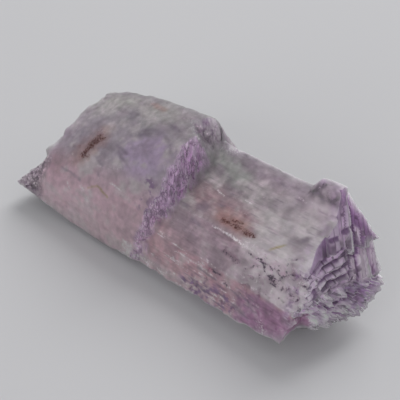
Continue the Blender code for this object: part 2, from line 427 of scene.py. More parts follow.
def outline(along, cell, push=0):
    """The crystal's outline: the left half's up to the band, the right half's after it."""
    start, stop = band_edges(cell)
    share = between(along + push, start, stop)[:, None]
    left = rounded_outline_of(LEFT, along, cell)
    right = outline_of(RIGHT, along, cell)
    near_crown = 1 - between(np.abs(cell - CELL_OF["crown"]), 1, HORN_CELLS)
    horn = HORN_HEIGHT * blend(along, *HORN_START) * near_crown
    both = left + (right - left) * share
    return both[:, 0], both[:, 1] + horn


def left_end(across, up):
    tip = between(-across, *TIP_ACROSS) * np.maximum(TIP_TOP - up, 0) * TIP_LEAN
    bevel = BEVEL_LEAN * np.maximum(up - BEVEL_FROM, 0)
    places = stack(across, up)
    rough = noise("break", places) + noise("break_grit", places)
    knob = KNOB_HEIGHT * blend(spot(places, KNOB_AT, KNOB_SIZE), 0, 1)
    return BREAK_REACH - tip + bevel + rough - knob


def spot(points, middle, size):
    """1 in the middle of a lump of a size along X, Y and Z, falling to 0 at its edge."""
    return 1 - between(np.linalg.norm((points - np.array(middle)) / np.array(size), axis=1), 0, 1)


def stroke(points, start, stop, reach):
    """1 on a straight line between two places, falling to 0 at the reach from it."""
    start, stop = np.array(start), np.array(stop)
    way = stop - start
    share = np.clip((points - start) @ way / (way @ way), 0, 1)
    return 1 - between(np.linalg.norm(points - start - share[:, None] * way, axis=1), 0, reach)


def strokes_of(points, lines, bend=0.3):
    """The strongest of several strokes at each point, each bent and frayed a little."""
    points = points + bend * stack(*[noise("bend", points, axis) for axis in range(points.shape[1])])
    fray = bend * noise("fray", points)
    amount = np.maximum.reduce([stroke(points, *line) for line in lines])
    return between(amount + fray * (amount > 0), 0.05, 0.8)


BLOCK_COLUMNS = levels(-26, 14, BLOCK_WIDTH, 83)
BLOCK_ROWS = levels(-4, 26, BLOCK_WIDTH, 84)


def end_zones(across, up):
    """How much each point of the right end belongs to the stairs in front, and to the blocks below."""
    front = 1 - between(across, STAIRS_TO - ZONE_SOFT, STAIRS_TO + ZONE_SOFT)
    front = front * (1 - between(up, STAIRS_UNDER - STAIRS_SOFT, STAIRS_UNDER + STAIRS_SOFT))
    low = 1 - between(up + BLOCKS_SLANT * across, BLOCKS_TO - ZONE_SOFT, BLOCKS_TO + ZONE_SOFT)
    return front, low


def fanned(across, up):
    """The height of each point of the right end in the fan of its stairs."""
    return up - STAIR_FAN * (up - STAIR_FAN_UP) * across


def blades_of(across, up):
    """How far the blades stand out, and how dark and how pale they are. Their dark in each drop and under
    each tier's overhang is painted shade.
    """
    blade, tilt = tooth(across - BLADE_TILT * up, BLADE_EDGES, BLADE_DROP)
    shift = TIER_SHIFT * (hashed(stack(blade), 85) - 0.5) * (across < TIER_SHIFT_TO)
    tier, hang = tooth(up + shift, TIERS, TIER_DROP)
    chance = hashed(stack(blade, tier), 86)
    relief = BLADE_RELIEF * (chance - 0.5) + BLADE_CURVE * tilt - TIER_OVERHANG * hang
    upper = between(up, *UPPER_TIER)
    dark = 0.6 * between(-tilt, 0.3, 0.48) + 0.4 * between(hang, 0.35, 0.5)
    dark = dark + 0.4 * (chance < 0.25) + 0.45 * upper
    pale = 0.5 * (chance > 0.45) * between(tilt, -0.3, 0) * (1 - upper)
    return relief, dark, pale


def stairs_of(across, up):
    """The same for the stairs; the dark at the foot of each stair and of each chip is painted shade."""
    stair, step = tooth(fanned(across, up), STAIR_EDGES, STAIR_DROP)
    shift = CHIP_SHIFT * hashed(stack(stair), 88)
    chip, side = tooth(across - BLADE_TILT * up + shift, BLOCK_COLUMNS, CHIP_DROP)
    chance = hashed(stack(stair, chip), 89)
    relief = STAIR_RELIEF * step + CHIP_RELIEF * (chance - 0.5)
    dark = 0.38 * between(-step, 0.2, 0.45) + 0.2 * (chance < 0.25)
    dark = dark + 0.3 * between(-side, 0.3, 0.45) * (chance < 0.5)
    return relief, dark, 0.5 * (chance > 0.6)


def blocks_of(across, up):
    """The same for the blocks, which are darker towards the back, with painted shade at the foot of each
    row.
    """
    leaning = across - BLOCK_LEAN * up + noise("columns", stack(up))
    slanting = up + BLOCK_SLANT * across + noise("rows", stack(across))
    column, tilt = tooth(leaning, BLOCK_COLUMNS, BLOCK_DROP)
    row, rise = tooth(slanting, BLOCK_ROWS, BLOCK_DROP)
    chance = hashed(stack(column, row), 92)
    relief = (BLOCK_RELIEF + BLOCK_TILT * tilt) * (chance - 0.5) + BLOCK_RISE * rise
    by_back = between(across, *BLOCKS_BACK)
    dark = 0.4 * (1 - between(chance, 0.2, 0.5)) + 0.2 * between(-rise, 0.3, 0.5) + 0.4 * by_back
    return relief, dark, (chance > 0.72) * (1 - 0.7 * by_back)


def end_relief(across, up):
    """How far each point of the right end stands out of its plane, and how dark and how pale it is. The
    dark is partly painted shade in its recesses and grooves.
    """
    front, low = end_zones(across, up)
    zones = (blades_of(across, up), stairs_of(across, up), blocks_of(across, up))
    blended = []
    for behind, before, below in zip(*zones):
        above = behind + (before - behind) * front
        blended.append(above + (below - above) * low)
    relief, dark, pale = blended
    places = stack(across, up)
    groove = strokes_of(places, GROOVES, GROOVE_BEND)
    ridge = strokes_of(places, RIDGES, GROOVE_BEND)
    relief = relief * (1 - RIDGE_CALM * ridge) - GROOVE_DEPTH * groove
    # Painted shadow: the grooves are coloured dark along their length.
    dark = np.clip(0.8 * dark * (1 - ridge) + groove, 0, 1)
    return relief, dark, np.clip(pale + ridge, 0, 1) * (1 - groove)


def right_end(across, up):
    plane = END_REACH + END_ACROSS * across - END_LEAN * up
    cheek = CHEEK * between(-across, *CHEEK_ACROSS) * between(up, *CHEEK_UP)
    whole = plane + cheek + end_relief(across, up)[0]
    ledge = LEDGE_REACH - LEDGE_UNDERCUT * (LEDGE_TOP - up) + noise("ledge", stack(across, up))
    under = between(LEDGE_DEPTH - across, -ZONE_SOFT, ZONE_SOFT)
    return whole + (ledge - whole) * under * between(LEDGE_TOP - up, 0, LEDGE_SOFT)


def place_round(side, rise):
    """The cell place of a point of the block's square cross-section, and its share of the way out."""
    out = np.maximum(np.maximum(np.abs(side), np.abs(rise)), 1e-9)
    side, rise = side / out, rise / out
    edge = 1 - 1e-6
    cell = (side + 1) / 2 * CELLS_ACROSS
    on_back = side >= edge
    cell = np.where(on_back, CELLS_ACROSS + (rise + 1) / 2 * CELLS_UP, cell)
    on_top = (rise >= edge) & ~on_back
    cell = np.where(on_top, CELLS_ACROSS + CELLS_UP + (1 - side) / 2 * CELLS_ACROSS, cell)
    on_front = (side <= -edge) & (rise < edge) & (rise > -edge)
    cell = np.where(on_front, CELLS_ROUND - CELLS_UP + (1 - rise) / 2 * CELLS_UP, cell)
    return cell, out


def holes(points, where):
    """Etched hollows of odd shapes, 1 at their deepest, more of them where `where` nears 1."""
    return between(noise("holes", points) + 0.6 * where, *HOLE_EDGE)


def faces(along, cell):
    """How much a point belongs to the right half, to the band and to each long face there."""
    start, stop = band_edges(cell)
    crown = CELL_OF["crown"]
    past_ridge = between(cell, CELL_OF["ridge"] - 0.5, CELL_OF["ridge"] + 0.5)
    past_lip = between(cell, CELL_OF["lip"] - 0.5, CELL_OF["lip"] + 0.5)
    return {
        "right": blend(along, stop - 0.6, stop + 1.0),
        "band": blend(along, start - 1.6, start + 0.2) * (1 - blend(along, stop - 1.4, stop + 1.0)),
        "top": between(cell, crown - 4, crown) * (1 - past_ridge),
        "slope": past_ridge * (1 - past_lip),
        "front": past_lip,
    }


def pitted(points, face):
    """Where the two front faces are pitted: towards the right end, most of all by their ridge."""
    along = points[:, 0]
    slope = face["slope"] * between(along, *PITS_SLOPE)
    front = face["front"] * between(along, *PITS_FRONT) * PITS_FRONT_SHARE
    return (slope + front) * face["right"]


def long_relief(points, along, cell):
    """How far the long faces stand out or in at each place."""
    face = faces(along, cell)
    right = face["right"]
    places = stack(along, cell)
    rim = between(cell, 30, 37) * (1 - between(cell, 40, 44))
    lumps = noise("mottle", points) + noise("fine_mottle", points) + rim * noise("rim", points)
    out = noise("broad", places) + lumps * (1 - 0.4 * right) + noise("striae", places) * right

    frosted = (face["slope"] + face["front"]) * right * (0.4 + 0.6 * between(along, 5, 18))
    scales = noise("scales", drawn_out(points, SCALE_WAY, SCALE_WIDTH, SCALE_LENGTH))
    tip = 1 - between(points[:, 0], *TIP_GRAIN)
    from_foot = np.minimum(cell, CELLS_ROUND - cell)
    foot = (1 - between(from_foot, 0.5, 3.5)) * between(along, -12, -6)
    out = out + noise("frost", points) * frosted + scales * face["band"]
    out = out + noise("grain", points) * tip + noise("crust", points) * foot

    where = pitted(points, face)
    out = out - HOLE_DEPTH * holes(points, where) * (where > 0)
    out = out - PIT_DEPTH * strokes_of(points, STROKES["pit"])
    resting = between(cell, 1, 4) * (1 - between(cell, 14, 17))
    return out * (1 - resting)


def crystal_points(block):
    """Carries the block's points onto the crystal; gives also their cell and share of the way out."""
    cell, out = place_round(block[:, 1], block[:, 2])
    share = np.interp((block[:, 0] + 1) / 2, *zip(*PACE))
    along = BREAK_REACH + (END_REACH - BREAK_REACH) * share
    for _ in range(5):
        across, up = outline(along, cell)
        across = HEART[0] + out * (across - HEART[0])
        up = HEART[1] + out * (up - HEART[1])
        along = left_end(across, up) * (1 - share) + right_end(across, up) * share
    scales = noise("upright", drawn_out(stack(along, across, up), SCALE_WAY, SCALE_WIDTH, SCALE_LENGTH))
    push = SCALE_PUSH * (1 - BACK_CALM * between(cell, 16, 18) * (1 - between(cell, 42, 44)))
    across, up = outline(along, cell, push * scales)
    across = HEART[0] + out * (across - HEART[0])
    up = HEART[1] + out * (up - HEART[1])
    away = stack(across - HEART[0], up - HEART[1])
    away = away / np.maximum(np.linalg.norm(away, axis=1, keepdims=True), 1e-6)
    depth = long_relief(stack(along, across, up), along, cell) * (out > 1 - 1e-6)
    points = stack(along, across + away[:, 0] * depth, np.maximum(up + away[:, 1] * depth, 0))
    return points, cell, out


def block_mesh(name):
    """A block from -1 to 1 cut into cells on every side."""
    grid = bmesh.new()
    bmesh.ops.create_cube(grid, size=2)
    for axis, cells in enumerate((SKIN_ALONG, SKIN_ACROSS, SKIN_UP)):
        edges = [e for e in grid.edges if abs((e.verts[0].co - e.verts[1].co)[axis]) > 1e-4]
        bmesh.ops.subdivide_edges(grid, edges=edges, cuts=cells - 1, use_grid_fill=True)
    mesh = bpy.data.meshes.new(name)
    grid.to_mesh(mesh)
    grid.free()
    return mesh


def broken(amount, ragged, low=0.35, high=0.75):
    """An amount whose edge is broken up by noise from -1 to 1."""
    return between(amount + 0.5 * ragged * (amount > 0), low, high)


# The marks, in the order that they are laid over one another, with the colour and strength of each.
MARKS = {
    "top_frost": ("#a1959b", 1.0),
    "end_frost": ("#d8d1d4", 1.0),
    "rim": ("#b5b5af", 1.0),
    "clear": ("#c5b4cc", 1.0),
    "moss": ("#a6a9a4", 0.9),
    # The horn's top is a dark grey, partly painted shade against its glow in the light from behind.
    "horn": ("#5a565a", 1.0),
    "smoke": ("#a29fa2", 0.8),
    "flank": ("#d8bbc5", 1.0),
    "slope": ("#b29da8", 1.0),
    "ledge": ("#c29ca8", 1.0),
    "frost": ("#d8cdd3", 1.0),
    "haze": ("#86738f", 0.8),
    "brown": ("#ab8f96", 1.0),
    # Painted glow: a lighter pink low on the front of the right half.
    "glow": ("#cfacb4", 0.8),
    "ledge_end": ("#a87f9e", 1.0),
    "cloud_pale": ("#cbc3c5", 1.0),
    "cloud_deep": ("#8e7f89", 1.0),
    "crown": ("#777a78", 0.6),
    "scaly": ("#b6b2b5", 0.9),
    "band": ("#d8bbdb", 1.0),
    "break": ("#aaa6a8", 0.9),
    "tip": ("#9b9297", 0.9),
    "end": ("#cdbad0", 1.0),
    "end_low": ("#9880a6", 1.0),
    "end_pale": ("#e4d8e3", 1.0),
    # Painted shade on the rim of the right end, against its back-lit glow.
    "end_rim_shade": ("#655a69", 0.95),
    # The dark mark holds real dark tones and painted shade in the right end's grooves and recesses.
    "dark": ("#8a6f92", 1.0),
    # The pale mark holds pale frost, chips and crumbs, and painted highlights along the ridge and on the
    # sheen lump.
    "pale": ("#e2dade", 1.0),
    "vein": ("#86798a", 1.0),
    # The pits' dark is partly painted shade in the sunk pits and hollows.
    "pit": ("#5c4d60", 0.66),
    "stain": ("#b08479", 0.62),
    "rust_halo": ("#8c6058", 0.45),
    "rust": ("#541d19", 0.56),
    "straw": ("#a99a5c", 0.7),
}

# The marks that fine grit breaks up.
GRAINY = ("pale", "pit", "rust")

# Soft lumps of colour, each with its middle and its size along X, Y and Z. The sheen is a painted
# highlight.
LUMPS = {
    "specks": ((-3.0, -8.8, 12.6), (3.4, 3.4, 5.0)),
    "chips": ((-5.8, -12.2, 3.9), (3.0, 2.0, 2.0)),
    "sheen": ((-4.6, -2.6, 19.4), (2.0, 1.8, 1.8)),
    "haze": ((5.2, -4.4, 13.8), (2.4, 1.8, 1.8)),
    "left brown": ((-26.8, -10.0, 10.6), (4.5, 3.0, 3.0)),
}
LOBE_AT = (-8.6, -4.6, 17.6)
LOBE_SIZE = (5.2, 4.6, 4.6)

# Long soft patches, each from one place to another, with how far it reaches to either side.
PATCHES = {
    "moss": ((0.5, 4.2, 18.4), (7.0, 2.6, 17.0), 3.6),
    "smoke": ((-16.5, -1.0, 19.4), (-10.0, -1.4, 20.1), 3.0),
    "crumbs": ((8.5, -11.6, 3.7), (20.5, -11.3, 4.6), 2.6),
    "right brown": ((4.0, -3.0, 14.6), (13.0, -4.2, 14.4), 4.4),
    # The glow patch is a painted glow.
    "glow": ((-1.0, -11.0, 8.0), (6.0, -11.0, 6.5), 5.5),
}

# Short cracks on the slope lie across its lines: their way, width and length.
DASHES = ((0.25, -0.55, -0.8), 0.4, 1.0)

# Where the right end begins to tell along the crystal, and where the tip's crust stops.
NEAR_END = (31.8, 33.8)
CRUST_TO = (-29.8, -27.8)
CRUST_UNDER = (9.0, 11.5)

# Marks drawn one by one in the same way.
STROKES = {
    "pale": (
        ((-22.8, -11.4, 9.2), (-20.2, -12.2, 7.6), 0.4), ((-18.6, -11.3, 9.6), (-17.8, -11.5, 9.3), 0.9),
        ((-16.8, -12.1, 8.0), (-16.3, -12.1, 7.8), 0.7), ((-23.5, -12.3, 7.1), (-23.3, -12.3, 7.1), 0.45),
        ((-24.3, -8.6, 12.6), (-24.1, -8.6, 12.6), 0.45), ((-27.2, -13.5, 3.1), (-27.0, -13.5, 3.2), 0.4),
        ((-16.9, -8.6, 13.6), (-13.9, -8.4, 14.0), 0.45), ((-12.6, -9.4, 12.4), (-9.6, -9.6, 12.2), 0.4),
        ((-10.5, -1.5, 20.1), (-10.2, -1.4, 20.2), 0.4), ((-3.9, 3.4, 21.6), (-2.7, 3.9, 21.3), 0.5),
        ((-2.5, 3.6, 20.8), (-1.9, 4.2, 20.4), 0.3), ((9.0, -6.4, 12.9), (12.4, -6.5, 13.0), 0.4),
        ((12.4, -6.5, 13.0), (16.1, -6.6, 12.9), 0.6), ((16.1, -6.6, 12.9), (19.6, -6.8, 13.0), 0.4),
        ((5.5, -10.4, 7.6), (9.9, -10.3, 7.4), 0.25), ((9.9, -10.3, 7.4), (16.4, -10.3, 6.8), 0.35),
        ((16.4, -10.3, 6.8), (22.7, -10.6, 7.0), 0.4), ((4.4, -10.8, 6.0), (4.7, -10.9, 5.8), 0.6),
        ((5.1, -11.5, 3.8), (5.4, -11.5, 3.7), 0.4), ((10.3, -10.2, 8.2), (10.6, -10.2, 8.2), 0.45),
        ((11.9, -10.3, 6.6), (12.4, -10.3, 6.7), 0.5), ((16.2, -10.2, 7.0), (16.5, -10.2, 6.9), 0.5),
        ((16.4, -10.4, 5.9), (16.6, -10.5, 5.8), 0.45), ((15.0, -11.2, 4.8), (16.4, -11.3, 4.7), 0.35),
        ((17.6, -11.1, 5.3), (18.6, -11.0, 5.3), 0.4), ((-3.4, -12.0, 3.0), (-0.6, -12.1, 2.6), 0.7),
        ((1.6, -12.0, 2.8), (3.4, -12.0, 2.7), 0.6), ((7.0, -10.5, 7.1), (7.5, -10.5, 6.9), 0.45),
        ((10.9, -9.9, 9.0), (11.2, -9.9, 8.9), 0.4), ((0.6, -9.9, 8.9), (1.7, -10.0, 8.7), 0.4),
        ((10.5, -0.5, 15.5), (12.2, -0.5, 15.5), 0.35), ((5.2, -1.1, 15.1), (6.7, -1.5, 15.0), 0.45),
        ((18.2, 3.5, 17.8), (19.9, 3.0, 17.9), 0.35), ((23.4, -11.4, 4.8), (24.6, -11.7, 3.4), 1.6),
        ((-8.3, -12.6, 1.7), (-6.3, -12.5, 1.8), 0.6), ((-6.3, -12.5, 1.8), (-4.8, -12.5, 1.7), 0.9),
        ((-5.6, -12.4, 2.6), (-5.0, -12.3, 3.3), 0.8),
    ),
    "scaly": (((-0.9, 4.7, 19.9), (3.4, 5.9, 18.9), 1.8),),
    "fleck": (
        ((-5.8, -7.2, 15.8), (-2.9, -8.2, 14.5), 1.6), ((-5.0, -8.9, 13.6), (-2.9, -10.0, 11.4), 1.5),
    ),
    "vein": (
        ((-17.2, 0.9, 20.3), (-15.4, -1.0, 19.9), 1.8), ((-15.1, -5.2, 16.9), (-12.2, -5.7, 16.8), 0.5),
        ((-14.0, -6.0, 16.3), (-9.9, -7.4, 15.6), 0.5), ((-17.9, -7.9, 14.5), (-15.6, -8.3, 14.0), 0.8),
        ((-15.9, -9.3, 12.5), (-15.6, -9.3, 12.5), 0.6), ((-24.9, -10.5, 10.2), (-21.9, -10.5, 10.4), 0.45),
        ((-21.9, -10.5, 10.4), (-19.4, -10.7, 10.2), 0.5), ((-24.8, -7.5, 13.7), (-24.4, -7.5, 13.7), 0.6),
        ((-21.6, -4.1, 16.8), (-20.0, -4.3, 16.9), 0.4), ((-12.6, -2.7, 19.0), (-10.0, -1.9, 19.9), 0.9),
        ((-16.2, 0.4, 20.1), (-15.8, 0.6, 20.3), 0.7), ((-7.7, 1.1, 21.3), (-5.8, 0.7, 21.3), 0.8),
        ((5.0, -7.0, 12.2), (6.3, -7.0, 12.2), 0.8), ((4.7, -4.8, 13.5), (5.6, -4.4, 13.7), 1.3),
        ((1.9, -5.6, 13.2), (2.4, -5.6, 13.2), 0.6), ((24.0, -2.0, 15.8), (23.6, -2.2, 15.5), 0.6),
        ((20.4, 5.8, 21.2), (21.2, 5.6, 21.0), 0.6),
    ),
    "straw": (
        ((19.7, -6.3, 13.6), (21.7, -4.1, 14.8), 0.32), ((-16.9, -11.0, 10.0), (-15.0, -10.4, 10.9), 0.3),
        ((-15.0, -10.4, 10.9), (-11.8, -10.9, 10.4), 0.35),
    ),
    "rust": (
        ((-20.0, -5.2, 16.1), (-20.8, -6.6, 15.0), 1.8), ((-20.8, -6.6, 15.0), (-21.4, -8.3, 13.5), 1.4),
        ((-21.4, -8.3, 13.5), (-19.8, -8.1, 13.9), 0.9), ((-20.0, -5.2, 16.1), (-18.9, -5.0, 16.6), 0.7),
        ((-23.4, -7.2, 14.2), (-23.1, -7.4, 14.0), 0.7), ((9.8, -5.0, 13.8), (13.4, -5.0, 14.0), 0.9),
        ((11.2, -4.2, 14.2), (13.2, -4.3, 14.2), 0.6), ((14.5, -5.3, 13.9), (16.4, -4.9, 14.0), 0.8),
    ),
    "stain": (
        ((-20.0, -5.0, 16.5), (-22.4, -8.4, 13.4), 3.6), ((9.0, -4.4, 14.2), (13.5, -4.8, 14.1), 2.4),
        ((-15.2, 3.7, 21.4), (-11.6, 3.2, 21.9), 0.9),
    ),
    "pit": (
        ((17.3, -6.9, 12.4), (19.0, -7.2, 12.3), 0.3), ((19.8, -7.1, 12.1), (20.9, -7.6, 11.6), 0.4),
        ((20.9, -7.6, 11.6), (22.3, -8.0, 11.1), 0.45), ((23.6, -7.2, 12.6), (24.0, -8.0, 11.6), 0.9),
        ((22.4, -7.9, 11.2), (23.6, -8.4, 11.0), 1.0), ((24.6, -6.4, 14.1), (25.3, -6.7, 13.6), 0.4),
        ((25.3, -6.7, 13.6), (26.1, -7.3, 12.6), 0.25), ((21.0, -8.7, 10.7), (21.4, -9.0, 10.3), 0.4),
        ((21.4, -9.5, 9.5), (21.8, -10.0, 8.5), 0.4), ((19.2, -9.7, 9.2), (19.6, -9.9, 8.8), 0.5),
        ((11.3, -10.7, 6.0), (11.6, -10.6, 6.1), 0.6), ((15.3, -10.3, 7.1), (15.7, -10.3, 7.1), 0.6),
        ((18.3, -10.2, 7.0), (18.6, -10.2, 7.0), 0.7), ((9.3, -11.5, 4.0), (9.0, -11.9, 2.7), 0.4),
        ((9.9, -10.3, 7.7), (12.0, -10.2, 7.6), 0.3), ((12.0, -10.2, 8.0), (14.2, -9.9, 8.0), 0.45),
        ((13.0, -8.1, 11.2), (15.9, -8.6, 10.8), 0.9), ((23.9, -5.9, 14.2), (24.8, -5.3, 14.4), 0.3),
        ((25.6, -6.8, 13.3), (26.1, -7.3, 12.6), 0.3), ((18.9, -9.2, 10.0), (19.1, -9.2, 10.0), 0.45),
        ((18.7, -10.1, 8.3), (19.3, -9.8, 9.0), 0.5), ((19.7, -10.5, 6.7), (20.0, -10.5, 6.7), 0.55),
        ((15.2, -11.4, 4.3), (15.6, -11.4, 4.3), 0.5), ((17.7, -11.5, 4.2), (18.3, -11.5, 4.2), 0.6),
        ((26.6, -8.5, 10.6), (27.7, -8.7, 10.6), 0.6),
    ),
}


def line_at(value, middle, width):
    """1 where a value is the middle one, falling off on both sides over the width."""
    return np.exp(-(((value - middle) / width) ** 2))


def marks(points, block, cell):
    """How much each mark shows at each point of the skin, from 0 to 1."""
    along, across, up = points.T
    face = faces(along, cell)
    right, top, front = face["right"], face["top"], face["front"]
    left = 1 - right
    where = pitted(points, face)
    soft, small, tiny, lines = (noise(name, points) for name in ("soft", "small", "tiny", "lines"))
    cloud = soft + noise("clouds", points)
    upright = noise("upright", drawn_out(points, SCALE_WAY, SCALE_WIDTH, SCALE_LENGTH))
    dashes = noise("dashes", drawn_out(points, *DASHES))
    lump = {name: spot(points, *place) for name, place in LUMPS.items()}
    patch = {name: stroke(points, *place) for name, place in PATCHES.items()}
    drawn = {name: strokes_of(points, places) for name, places in STROKES.items()}

    # The right end, its surroundings, the end of the ledge and the broken left end.
    on_end = (block[:, 0] > 1 - 1e-3).astype(float)
    on_break = (block[:, 0] < -1 + 1e-3).astype(float)
    end = on_end * (1 - (across < LEDGE_DEPTH + 0.2) * (up < LEDGE_TOP + 0.3))
    end_dark_and_shade, end_pale = end_relief(across, up)[1:]
    low_end = end * (1 - between(up + BLOCKS_SLANT * across, BLOCKS_TO - 0.5, BLOCKS_TO))
    out = np.abs(block[:, 1:]).max(axis=1)
    # Painted shade: the rim of the right end, by its bottom and back, is darkened against the glow that
    # light from behind gives its thin edges.
    painted_rim_shade = on_end * between(out, 0.72, 0.95) * between(cell, 4, 7) * (1 - between(cell, 40, 42))
    near_end = blend(along + END_LEAN * up - END_ACROSS * across, *NEAR_END) * (1 - on_end)
    ledge_end = (1 - end) * broken(blend(along, 16, 23) * blend(cell, 65, 68), small, 0.2, 0.6)
    tip = (1 - between(along + 0.8 * soft, *CRUST_TO)) * (1 - between(up + soft, *CRUST_UNDER))

    # The band, its facet, the clear lobe beside it and the lines that edges leave.
    facet = face["band"] * between(cell, 37.6, 38.4) * (1 - between(cell, 43.0, 43.8))
    etched = between(cell, 42.6, 43.8)
    band = face["band"] * (0.2 + 0.8 * etched) * (1 - 0.35 * between(cell, 63, 69)) * (1 - facet)
    band = broken(band, 0.9 * upright + 0.8 * small + 0.4 * soft, 0.25, 0.75)
    lobe = np.linalg.norm((points - np.array(LOBE_AT)) / np.array(LOBE_SIZE), axis=1)
    ridge_highlight = line_at(cell, CELL_OF["ridge"], 0.4) * right * between(along, -0.5, 2) * (1 - near_end)
    lip_line = line_at(cell, CELL_OF["lip"], 0.4) * right * between(along, 8, 11) * (1 - end)
    foot_line = line_at(cell, 74.4, 1.2) * blend(along, -10, -4) * (1 - blend(along, 10, 15))

    # Pits, flecks and crumbs.
    # The pits are darkened where the skin is sunk into etched hollows, partly as painted shade.
    pits = np.maximum(holes(points, where), between(dashes + 0.4 * where, 0.75, 0.95)) * (where > 0.1)
    specks = between(lump["specks"], 0, 0.5)
    strip = between(patch["crumbs"], 0, 0.5) * (1 - 0.6 * ledge_end)
    crumbs = small + 0.8 * tiny + 0.6 * lines
    flecks = between(small + 0.8 * tiny + 0.4 * upright, 0.1, 0.35)
    # Among these darks, the right end's is partly painted shade in its grooves and recesses.
    dark = (
        0.6 * band * between(-upright + 0.3 * tiny + 0.5 * soft, 0.35, 0.6),
        0.9 * np.maximum(0.7 * specks, drawn["fleck"]) * flecks,
        end * between(end_dark_and_shade + 0.15 * small, 0.3, 0.8),
        0.7 * near_end * between(cell, 53, 57) * between(small, 0.2, 0.4),
        strip * between(-crumbs, 0.1, 0.4),
        0.45 * left * etched * face["band"] * between(-upright, 0.2, 0.5),
    )
    # Among these pales, the line along the ridge and the sheen lump are painted highlights.
    pale = (
        0.6 * ridge_highlight * between(lines + small + soft, -0.4, 0.6),
        0.7 * lip_line * between(lines + small, -0.3, 0.4),
        0.5 * foot_line * between(lines + small, 0.0, 0.6),
        0.9 * strip * between(crumbs, 0.2, 0.6),
        0.9 * broken(lump["chips"], tiny),
        0.5 * lump["sheen"],
        0.5 * right * top * between(lines, 0.25, 0.5) * blend(along, 3, 16),
        0.7 * where * between(-small + 0.4 * tiny, 0.1, 0.5),
        0.9 * right * front * between(lines, 0.2, 0.45) * (1 - blend(along, 18, 22)),
        0.5 * left * between(small + tiny, 0.8, 1.1),
        0.8 * band * between(upright + 0.5 * tiny, 0.35, 0.55),
        0.8 * specks * between(tiny, 0.45, 0.6),
        0.5 * np.maximum(tip, 0.5 * on_break) * between(small, 0.1, 0.5),
    )
    streaked = right * front * between(along, 6, 10) * (1 - blend(along, 20, 24))
    vein = (
        0.55 * drawn["vein"],
        0.5 * line_at(lobe, 1, 0.1) * between(up, 18.0, 19.2),
        0.75 * streaked * between(-lines, 0.2, 0.45),
        0.5 * right * top * between(-lines, 0.3, 0.55),
        0.5 * drawn["scaly"] * between(-upright, 0.1, 0.4),
        0.9 * facet * between(-upright, 0.1, 0.35),
    )

    # Clouds and stains.
    rim = left * between(cell, 26, 36) * (1 - blend(cell, 41, 49)) * between(soft, -0.7, 0.3)
    pale_clouds = (0.65 + 0.25 * left - 0.4 * rim) * between(cloud, 0.05, 0.5) * (1 - end)
    pale_clouds = pale_clouds * (1 - 0.55 * left * between(cell, 65, 70))
    right_brown = between(patch["right brown"], 0, 0.7)
    left_brown = 0.55 * between(lump["left brown"] + 0.3 * small, 0, 0.7)
    scaly = np.maximum(facet, drawn["scaly"])
    fine_pale = 0.62 * np.maximum.reduce(pale) * (1 - end) * (1 - 0.8 * ledge_end)
    shown = {
        "top_frost": right * top * between(soft, -0.8, 0.3),
        "end_frost": right * top * blend(along, 8, 28) * between(soft, -0.9, 0.2),
        "rim": rim,
        "clear": blend(1.25 - lobe, 0, 0.6) * (1 - 0.5 * right) * between(cell, 43, 46),
        "moss": between(patch["moss"] + 0.3 * soft, 0.1, 0.8),
        # The horn's dark grey is partly painted shade against its back-lit glow.
        "horn": between(along, 17.0, 19.5) * between(up, 18.4, 19.4) * (1 - on_end),
        "smoke": between(patch["smoke"] + 0.3 * soft, 0.15, 0.9),
        "flank": left * blend(cell, 54, 63),
        "slope": right * face["slope"],
        "ledge": right * front,
        "frost": broken(where, 0.6 * small + 0.4 * soft, 0.3, 0.8),
        "haze": lump["haze"],
        "brown": np.maximum(right_brown, left_brown),
        "glow": right * between(patch["glow"], 0.1, 0.7),
        "ledge_end": ledge_end,
        "cloud_pale": np.maximum(pale_clouds, 0.55 * foot_line),
        "cloud_deep": (0.5 - 0.2 * left) * between(-cloud, 0.05, 0.5) * (1 - end),
        "crown": line_at(cell, CELL_OF["crown"], 1.6) * (1 - on_end),
        "end_rim_shade": painted_rim_shade,
        "scaly": scaly,
        "band": (0.75 + 0.2 * soft) * band * (1 - scaly),
        "break": on_break * (1 - tip),
        "tip": tip,
        "end": np.maximum(end, 0.5 * near_end * between(small, -0.3, 0.3)),
        "end_low": (0.2 + 0.8 * between(across, *BLOCKS_BACK)) * low_end,
        "end_pale": end * end_pale * (1 - 0.5 * low_end),
        "dark": np.maximum.reduce(dark),
        "pale": np.maximum(fine_pale, (0.55 - 0.2 * ledge_end) * drawn["pale"]),
        "vein": np.maximum.reduce(vein) * (1 - end),
        "pit": np.maximum(0.8 * pits, drawn["pit"] * (1 - end)) * (1 - ledge_end),
        "stain": between(drawn["stain"] * (0.8 + 0.4 * soft), 0.1, 1.0),
        "rust_halo": drawn["rust"],
        "rust": drawn["rust"],
        "straw": drawn["straw"],
    }
    return {name: strength * shown[name] for name, (_, strength) in MARKS.items()}


